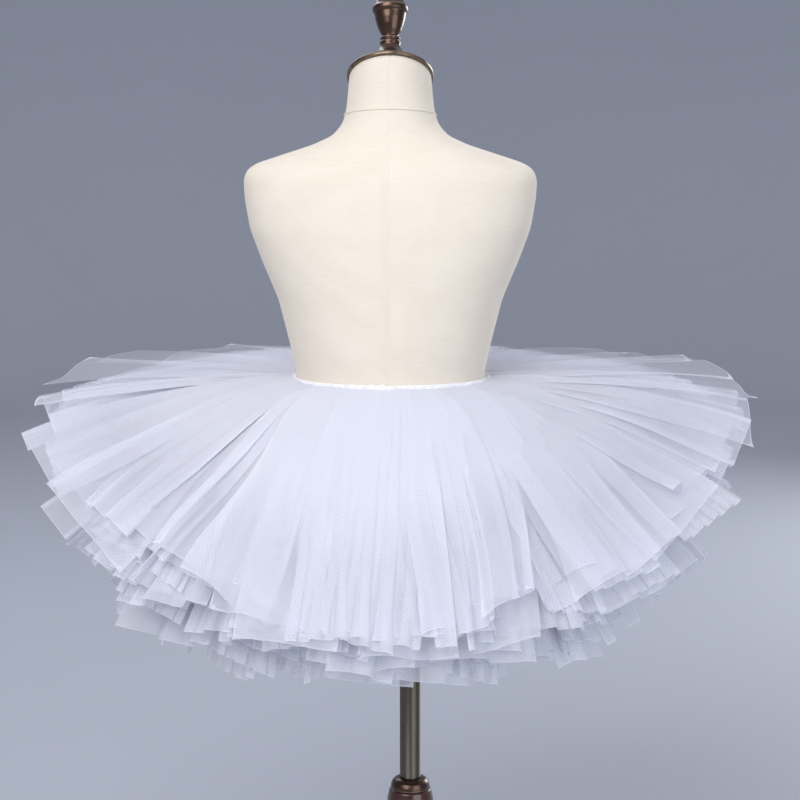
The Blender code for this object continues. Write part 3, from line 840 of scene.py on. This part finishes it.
class TUTU_OT_bronze(bpy.types.Operator):
    """Make the domed neck cap, the finial and the pole's collar in antique bronze"""

    bl_idname = "tutu.bronze"
    bl_label = "Bronze fittings"

    def execute(self, context):
        """Turn each profile, then lean the cap and the finial on the slanted neck cut."""
        sizes = context.scene.tutu_sizes
        bronze = bronze_material(context.scene.tutu_colours)
        tilt, stretch = sizes.neck_tilt, 1 / math.cos(sizes.neck_tilt)
        neck = FORM_SLICES[-1]
        seat = np.array((0.0, neck[3], neck[0]))

        def lean(points, angle, origin):
            """Turn points about X towards the chest side and move them to origin."""
            cosine, sine = math.cos(angle), math.sin(angle)
            matrix = np.array(((1, 0, 0), (0, cosine, sine), (0, -sine, cosine)))
            return points @ matrix.T + origin

        rim, dome, wall = 0.0438, 0.011, 0.0052
        ball = (rim ** 2 + dome ** 2) / (2 * dome)
        turn = np.linspace(math.asin(rim / ball), 0.02, 12)
        cap_profile = [(0.0005, 0.0004), (rim, 0.0004), (rim + 0.0012, 0.0014),
                       (rim + 0.0012, wall - 0.0012)]
        cap_profile += [(ball * math.sin(t), wall + dome - ball * (1 - math.cos(t)))
                        for t in turn]
        turned_piece("neck_cap_dome", "neck_cap", cap_profile, bronze,
                     lambda rings: lean(rings * (1, stretch, 1), tilt, seat))

        offset = tilt - sizes.finial_tilt
        local = np.array((0.0, -ball * math.sin(offset) * stretch,
                          wall + dome - ball * (1 - math.cos(offset))))
        foot = lean(local, tilt, seat)
        profile_mm = [(0.5, -3), (23.6, -3.8), (24.1, -2.6), (17.2, 1.9), (13.2, 4.9), (11.3, 8),
                      (10.4, 11.2), (10.4, 12.4), (10.8, 13.7), (10.8, 15.1), (9.6, 16.3),
                      (9.6, 17.3), (10.6, 18.5), (10.6, 19.5), (8.2, 21.1), (9, 23), (11.2, 27),
                      (13.4, 32.5), (15.2, 39), (16.5, 45.7), (18.4, 48.5), (18.4, 52.3),
                      (16, 54.5), (15.2, 57.5), (10.8, 63), (5.2, 66.2), (0.5, 66.9)]
        turned_piece("vase_finial", "finial", MM * np.array(profile_mm),
                     bronze, lambda rings: lean(rings, sizes.finial_tilt, foot), window=0.0010)

        low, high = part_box("hub_collar")
        top = high.z
        shift = np.array(((low.x + high.x) / 2, 0.0, 0.0))
        profile = [(0.0005, low.z), (0.0213, low.z), (0.0208, top - 0.0075),
                   (0.0194, top - 0.0038), (0.0168, top - 0.0012), (0.0130, top), (0.0005, top)]
        turned_piece("pole_collar", "hub_collar", profile, bronze,
                     lambda rings: rings + shift, window=0.0012)
        return {"FINISHED"}


class TUTU_OT_stand(bpy.types.Operator):
    """Make the dark pole, the turned wood column and the round wood foot"""

    bl_idname = "tutu.stand"
    bl_label = "Pole and stand"

    def execute(self, context):
        """Turn each profile about the pole's own upright line."""
        colours = context.scene.tutu_colours
        shift = np.array(((pole_low.x + pole_high.x) / 2, 0.0, 0.0))
        radius = (pole_high.x - pole_low.x) / 2
        wood = wood_material(colours)

        def stand_up(rings):
            """Move a turned piece from the middle to the pole's own line."""
            return rings + shift

        profile = [(0.0005, pole_low.z), (radius, pole_low.z), (radius, pole_high.z),
                   (0.0005, pole_high.z)]
        turned_piece("plated_pole", "pole", profile, nickel_material(colours),
                     stand_up, spacing=0.001, window=0.0010)

        low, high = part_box("stand_column")
        top, foot = high.z, low.z
        profile = [(0.0005, foot), (0.0350, foot), (0.0350, foot + 0.010),
                   (0.0270, foot + 0.022), (0.0185, top - 0.150), (0.0150, top - 0.120),
                   (0.0150, top - 0.085), (0.0180, top - 0.080), (0.0150, top - 0.075),
                   (0.0185, top - 0.065), (0.0240, top - 0.045), (0.0256, top - 0.025),
                   (0.0246, top - 0.010), (0.0222, top), (0.0005, top)]
        turned_piece("turned_column", "stand_column", profile, wood, stand_up,
                     spacing=0.001, window=0.004)

        edge, top = (base_high.x - base_low.x) / 2, base_high.z
        profile = [(0.0005, 0.0), (edge - 0.003, 0.0), (edge, 0.005), (edge - 0.002, top - 0.016),
                   (0.138, top - 0.013), (0.130, top - 0.008), (0.100, top - 0.005),
                   (0.050, top), (0.0005, top)]
        turned_piece("round_foot", "stand_base", profile, wood, stand_up,
                     steps=144, spacing=0.001, window=0.003)
        return {"FINISHED"}


class TUTU_OT_waistband(bpy.types.Operator):
    """Make the ribbed elastic waistband"""

    bl_idname = "tutu.waistband"
    bl_label = "Waistband"

    def execute(self, context):
        """Carry a rounded section, a superellipse, round the oval waist."""
        sizes, colours = context.scene.tutu_sizes, context.scene.tutu_colours
        columns, section = 240, 24
        angle = np.linspace(0, 2 * np.pi, columns, endpoint=False)[:, None]
        turn = np.linspace(0, 2 * np.pi, section, endpoint=False)[None, :]
        form_half_width = np.interp(sizes.waist_height, FORM_SLICES[:, 0], FORM_SLICES[:, 1])
        thick = float(sizes.waist_half_width - form_half_width) / 2 * 0.96
        lean_out = thick * np.sign(np.cos(turn)) * np.abs(np.cos(turn)) ** 0.4
        rise = sizes.band_height / 2 * np.sign(np.sin(turn)) * np.abs(np.sin(turn)) ** 0.4
        middle = sizes.waist_half_width - thick
        middle_y = sizes.waist_half_depth - thick
        points = by_oval(middle, middle_y, angle, lean_out, 0, sizes.waist_height + rise)
        mean_radius = 0.095
        uv = on_grid(mean_radius * angle, rise)
        faces = grid_faces(columns, section, True, joined=True)[:, ::-1]
        band = make_mesh("elastic_waistband", points, faces, elastic_material(colours), uv)
        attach(band, ROOT_BODY)
        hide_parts("waistband")
        return {"FINISHED"}


class TUTU_OT_knots(bpy.types.Operator):
    """Make the row of tulle knots that loop over the waistband's upper edge"""

    bl_idname = "tutu.knots"
    bl_label = "Knots"

    def execute(self, context):
        """A puckered half ball a knot: an ellipsoid whose radius ripples round its own axis."""
        sizes, colours = context.scene.tutu_sizes, context.scene.tutu_colours
        rng = np.random.default_rng(61)
        count, rows, columns = sizes.knots, 9, 16
        place = (np.arange(count) + rng.uniform(-0.2, 0.2, count)) / count * 2 * np.pi
        polar = np.linspace(0.12, np.pi - 0.12, rows)[None, :, None]
        turn = np.linspace(0, 2 * np.pi, columns, endpoint=False)[None, None, :]
        ripple = 1 + 0.10 * np.sin(5 * turn + rng.uniform(0, 6, (count, 1, 1)))
        lump = (np.sin(3 * place + 1.1) + np.sin(7 * place + 0.4))[:, None, None] / 2
        wide = rng.uniform(6.5, 10.0, (count, 1, 1)) * MM * ripple
        deep = (2.4 + 1.0 * lump + rng.uniform(0, 0.6, (count, 1, 1))) * MM * ripple
        tall = (6.2 + 1.4 * lump + rng.uniform(-0.5, 0.5, (count, 1, 1))) * MM
        along = wide * np.sin(polar) * np.cos(turn)
        out = deep * np.sin(polar) * np.sin(turn) + 0.0016
        up = -tall * np.cos(polar)
        angle = place[:, None, None]
        centre = sizes.waist_height + sizes.band_height / 2 - 0.0065
        centre = centre + rng.uniform(-0.7, 0.7, (count, 1, 1)) * MM
        points = by_oval(sizes.waist_half_width, sizes.waist_half_depth, angle, out, along,
                         centre + up)
        index = np.arange(count * rows * columns).reshape(count, rows, columns)
        single = grid_faces(rows, columns, True)
        faces = (single[None] + index[:, :1, :1]).reshape(-1, 4).tolist()
        for i in range(count):
            faces += fan_faces(index[i, 0, ::-1], index.size + 2 * i)
            faces += fan_faces(index[i, -1], index.size + 2 * i + 1)
        ends = np.stack((points[:, 0].mean(axis=1), points[:, -1].mean(axis=1)), axis=1)
        all_points = np.concatenate((points.reshape(-1, 3), ends.reshape(-1, 3)))
        uv = on_grid(0.1 * angle + along, up).reshape(-1, 2)
        uv = np.concatenate((uv, np.zeros((2 * count, 2))))
        knots = make_mesh("tulle_knots", all_points, faces, knot_material(colours), uv)
        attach(knots, ROOT_BODY)
        return {"FINISHED"}


class TUTU_OT_tulle(bpy.types.Operator):
    """Hang the five layers of tulle strips from the waistband"""

    bl_idname = "tutu.tulle"
    bl_label = "Tulle layers"

    def execute(self, context):
        """Each layer is many strips in one mesh, on the form of its own ring of solids."""
        sizes, colours = context.scene.tutu_sizes, context.scene.tutu_colours
        net, dense = tulle_material(colours), dense_tulle_material(colours)
        for index, (tier, near, side, far, seed) in enumerate(LAYERS):
            hand_folds = HAND_FOLDS if index == 0 else ()
            plan = layer_plan(sizes, index, (near, side, far), seed, hand_folds)
            points, uv, density, edge, level = strip_points(sizes, plan)
            faces, gathered = strip_faces(density)
            layer = make_mesh("tulle_layer_%d" % (index + 1), points, faces, net, uv,
                              {"cover": density, "edge": edge})
            layer.data.materials.append(dense)
            layer.data.polygons.foreach_set("material_index", gathered.astype(np.int32))
            # The broad direction counts 16 times as much at the knots and once at the hem
            share = np.geomspace(16.0, 1.0, STRIP_ROWS)[None, :, None] + 0 * edge
            soften_normals(layer.data, level.reshape(-1, 3), share.reshape(-1, 1))
            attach(layer, ROOT_BODY)
            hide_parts(tier)
        return {"FINISHED"}


class TUTU_PT_panel(bpy.types.Panel):
    """Buttons for each group of pieces, in the 3D view's sidebar"""

    bl_idname = "TUTU_PT_panel"
    bl_label = "Tutu"
    bl_space_type = "VIEW_3D"
    bl_region_type = "UI"
    bl_category = "Tutu"

    def draw(self, context):
        """List the sizes, the colours and the operators."""
        for group in (context.scene.tutu_sizes, context.scene.tutu_colours):
            for key in group.__annotations__:
                self.layout.prop(group, key)
        for operator in OPERATORS:
            self.layout.operator(operator.bl_idname)


OPERATORS = (
    TUTU_OT_stage,
    TUTU_OT_form,
    TUTU_OT_bronze,
    TUTU_OT_stand,
    TUTU_OT_waistband,
    TUTU_OT_knots,
    TUTU_OT_tulle,
)
CLASSES = (TutuSizes, TutuColours, TUTU_PT_panel) + OPERATORS


def register():
    """Register the classes and hang the two property groups on the scene."""
    for made in CLASSES:
        bpy.utils.register_class(made)
    bpy.types.Scene.tutu_sizes = bpy.props.PointerProperty(type=TutuSizes)
    bpy.types.Scene.tutu_colours = bpy.props.PointerProperty(type=TutuColours)


def unregister():
    """Take the property groups and the classes away again."""
    del bpy.types.Scene.tutu_colours
    del bpy.types.Scene.tutu_sizes
    for made in reversed(CLASSES):
        bpy.utils.unregister_class(made)


def main():
    register()
    bpy.ops.tutu.stage()
    bpy.ops.tutu.form()
    bpy.ops.tutu.bronze()
    bpy.ops.tutu.stand()
    bpy.ops.tutu.waistband()
    bpy.ops.tutu.knots()
    bpy.ops.tutu.tulle()


if __name__ == "__main__":
    main()
